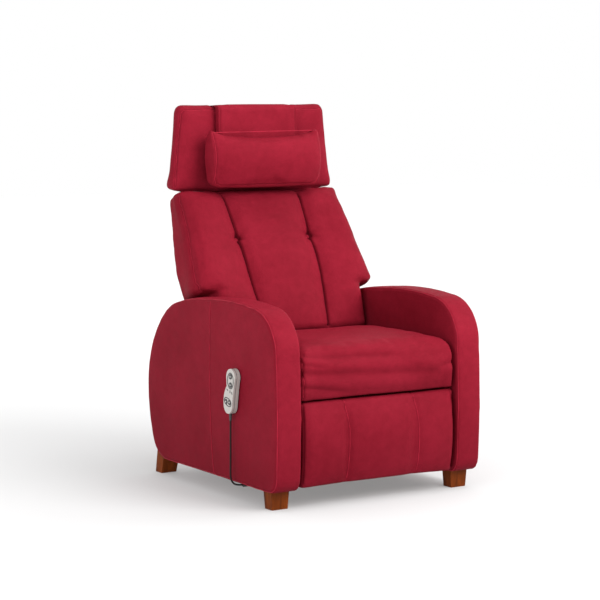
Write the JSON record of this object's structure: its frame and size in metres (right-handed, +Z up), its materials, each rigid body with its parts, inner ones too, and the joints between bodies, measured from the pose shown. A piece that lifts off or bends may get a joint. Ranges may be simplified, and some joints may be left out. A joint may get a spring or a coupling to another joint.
{
  "type": "reflexology chair",
  "caption": "Upholstered power chair with a reclining back, tilting headrest, sliding neck pillow, scissor-linkage footrest and a wired handset on one arm",
  "frame": {"origin": "on the floor, at the middle of the base of the bounding box", "axes": "+X across the chair to the right as seen from the front, -Y towards the front, +Z up; left and right in node names are as seen from the front"},
  "size_m": [0.7844, 0.842, 1.2065],
  "materials": {
    "crimson_leather": "soft crimson upholstery leather with a fine grain",
    "oiled_wood": "satin orange-brown hardwood",
    "plywood": "plain birch plywood",
    "steel": "zinc-plated steel",
    "black_steel": "black powder coat",
    "black_plastic": "matt black moulding",
    "handset_grey": "satin warm grey moulding",
    "button_black": "black keys",
    "black_cord": "matt black cord",
    "webbing": "woven elastic straps"
  },
  "bodies": {
    "chair": {"left_arm_border": "crimson_leather", "left_arm_inner_pad": "crimson_leather", "left_arm_outer_pad": "crimson_leather", "left_arm_frame": "plywood", "right_arm_border": "crimson_leather", "right_arm_inner_pad": "crimson_leather", "right_arm_outer_pad": "crimson_leather", "right_arm_frame": "plywood", "front_feet": "oiled_wood", "rear_feet": "oiled_wood", "front_rail": "plywood", "deck_rail": "plywood", "rear_rail": "plywood", "seat_webbing": "webbing", "rear_panel": "crimson_leather", "seat_cushion": "crimson_leather", "mechanism_plates": "black_steel", "footrest_gearbox": "black_plastic", "footrest_motor": "black_plastic", "actuator_hanger": "black_steel", "control_box": "black_plastic", "power_gland": "black_plastic", "handset_holder": "black_plastic", "cord_gland": "black_plastic", "handset_cord": "black_cord"},
    "back": {"back_cushion": "crimson_leather", "back_board": "plywood", "back_cover": "crimson_leather", "tuft_buttons": "crimson_leather", "back_hinge_arms": "black_steel", "back_torque_bar": "black_steel", "back_drive_lever": "black_steel", "headrest_hinge_lower": "black_steel"},
    "headrest": {"headrest_board": "plywood", "headrest_cushion": "crimson_leather", "headrest_band": "crimson_leather", "headrest_hinge_upper": "black_steel"},
    "pillow": {"neck_pillow": "crimson_leather"},
    "drive_links": {"left_drive_link": "black_steel", "right_drive_link": "black_steel", "drive_shaft": "steel"},
    "guide_links": {"left_guide_link": "black_steel", "right_guide_link": "black_steel"},
    "lift_links": {"left_lift_link": "black_steel", "right_lift_link": "black_steel"},
    "panel_links": {"left_panel_link": "black_steel", "right_panel_link": "black_steel"},
    "footrest": {"footrest_board": "plywood", "footrest_pad": "crimson_leather", "footrest_brackets": "black_steel"},
    "actuator_housing": {"back_actuator_housing": "black_plastic"},
    "actuator_rod": {"back_actuator_rod": "steel"},
    "handset": {"handset_back_shell": "handset_grey", "handset_front_shell": "handset_grey", "handset_boot": "black_plastic"},
    "button_top": {"handset_button_top": "button_black"},
    "button_second": {"handset_button_second": "button_black"},
    "button_front": {"handset_button_front": "button_black"},
    "button_rear": {"handset_button_rear": "button_black"}
  },
  "joints": [
    {"name": "back_recline", "type": "hinge", "parent": "chair", "child": "back", "pos_m": [0.01215, 0.18897, 0.4], "axis": [-1, 0, 0], "range_deg": [0, 38]},
    {"name": "headrest_tilt", "type": "hinge", "parent": "back", "child": "headrest", "pos_m": [0.01215, 0.364, 0.92496], "axis": [-1, 0, 0], "range_deg": [-10, 25]},
    {"name": "pillow_slide", "type": "slide", "parent": "headrest", "child": "pillow", "axis": [0, 0.0209, 0.9998], "range_m": [0, 0.06]},
    {"name": "footrest_extend", "type": "hinge", "parent": "chair", "child": "drive_links", "pos_m": [0.01215, -0.29596, 0.29585], "axis": [-1, 0, 0], "range_deg": [0, 75.93]},
    {"name": "guide_swing", "type": "hinge", "parent": "chair", "child": "guide_links", "pos_m": [0.01215, -0.25884, 0.29594], "axis": [-1, 0, 0], "range_deg": [0, 75.7]},
    {"name": "lift_swing", "type": "hinge", "parent": "drive_links", "child": "lift_links", "pos_m": [0.01215, -0.1948, 0.16989], "axis": [1, 0, 0], "range_deg": [0, 85.3]},
    {"name": "panel_swing", "type": "hinge", "parent": "drive_links", "child": "panel_links", "pos_m": [0.01215, -0.2074, 0.13401], "axis": [1, 0, 0], "range_deg": [0, 85.8]},
    {"name": "footrest_swing", "type": "hinge", "parent": "lift_links", "child": "footrest", "pos_m": [0.01215, -0.26779, 0.29229], "axis": [-1, 0, 0], "range_deg": [0, 89.4]},
    {"name": "actuator_swing", "type": "hinge", "parent": "chair", "child": "actuator_housing", "pos_m": [0.01215, -0.21603, 0.2], "axis": [-1, 0, 0], "range_deg": [0, 2]},
    {"name": "actuator_rod_slide", "type": "slide", "parent": "actuator_housing", "child": "actuator_rod", "axis": [0, 0.9285, 0.3714], "range_m": [-0.0288, 0]},
    {"name": "handset_lift", "type": "slide", "parent": "chair", "child": "handset", "axis": [0, 0, 1], "range_m": [0, 0.03]},
    {"name": "button_top_press", "type": "slide", "parent": "handset", "child": "button_top", "axis": [1, 0, 0], "range_m": [0, 0.001], "stiffness_N_per_m": 500, "springref_m": -0.001},
    {"name": "button_second_press", "type": "slide", "parent": "handset", "child": "button_second", "axis": [1, 0, 0], "range_m": [0, 0.001], "stiffness_N_per_m": 500, "springref_m": -0.001},
    {"name": "button_front_press", "type": "slide", "parent": "handset", "child": "button_front", "axis": [1, 0, 0], "range_m": [0, 0.001], "stiffness_N_per_m": 500, "springref_m": -0.001},
    {"name": "button_rear_press", "type": "slide", "parent": "handset", "child": "button_rear", "axis": [1, 0, 0], "range_m": [0, 0.001], "stiffness_N_per_m": 500, "springref_m": -0.001}
  ],
  "couplings": [
    {"joint": "guide_swing", "follows": "footrest_extend", "ratio": 0.99565},
    {"joint": "lift_swing", "follows": "footrest_extend", "ratio": 1.1222},
    {"joint": "panel_swing", "follows": "footrest_extend", "ratio": 1.1283},
    {"joint": "footrest_swing", "follows": "footrest_extend", "ratio": 1.1758},
    {"joint": "actuator_swing", "follows": "back_recline", "ratio": 0.0508},
    {"joint": "actuator_rod_slide", "follows": "back_recline", "m_per_rad": -0.04319}
  ]
}
